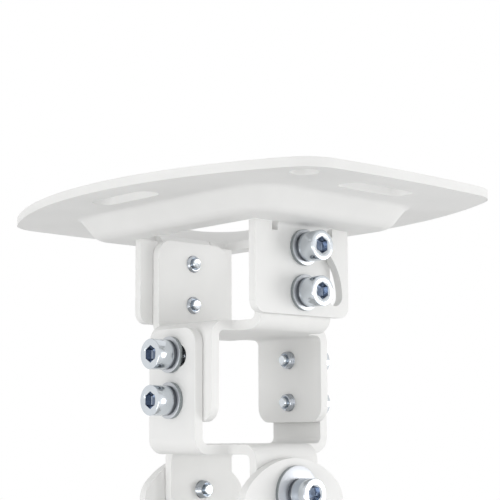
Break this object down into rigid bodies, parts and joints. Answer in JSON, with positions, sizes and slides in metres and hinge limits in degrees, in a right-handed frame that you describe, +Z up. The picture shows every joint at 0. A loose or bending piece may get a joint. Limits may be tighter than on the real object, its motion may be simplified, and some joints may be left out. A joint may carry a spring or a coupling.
{
  "type": "projector ceiling mount",
  "caption": "Short ceiling mount for a projector: pressed ceiling plate with two slotted flanges, two crossed folded brackets and a tilting yoke, held by socket head screws.",
  "frame": {"origin": "centre of the ceiling plate's top face, which lies against the ceiling", "axes": "+Z up into the ceiling, +X along the plate's length towards the flange at its right, +Y across it; the mount hangs down along -Z"},
  "size_m": [0.161, 0.128, 0.1256],
  "materials": {
    "white_coat": "satin white powder coat",
    "zinc": "bright zinc plating"
  },
  "bodies": {
    "plate": {"ceiling_plate": "white_coat"},
    "upper": {"upper_bracket": "white_coat", "swing_pivot_screw_left": "zinc", "swing_pivot_screw_right": "zinc", "swing_lock_screw_left": "zinc", "swing_lock_screw_right": "zinc", "roll_pivot_screw_front": "zinc", "roll_pivot_screw_back": "zinc", "roll_lock_screw_front": "zinc", "roll_lock_screw_back": "zinc", "swing_flat_washers": "zinc", "swing_spring_washers": "zinc", "roll_flat_washers": "zinc", "roll_spring_washers": "zinc"},
    "lower": {"lower_bracket": "white_coat", "tilt_screw_left": "zinc", "tilt_screw_right": "zinc", "tilt_large_washers": "zinc", "tilt_spring_washers": "zinc"},
    "yoke": {"projector_yoke": "white_coat"}
  },
  "joints": [
    {"name": "swing", "type": "hinge", "parent": "plate", "child": "upper", "pos_m": [0, 0, -0.033], "axis": [1, 0, 0], "range_deg": [-45, 0]},
    {"name": "roll", "type": "hinge", "parent": "upper", "child": "lower", "pos_m": [0, 0, -0.0681], "axis": [0, 1, 0], "range_deg": [-12, 12]},
    {"name": "tilt", "type": "hinge", "parent": "lower", "child": "yoke", "pos_m": [0, 0, -0.0983], "axis": [1, 0, 0], "range_deg": [-60, 60]}
  ]
}
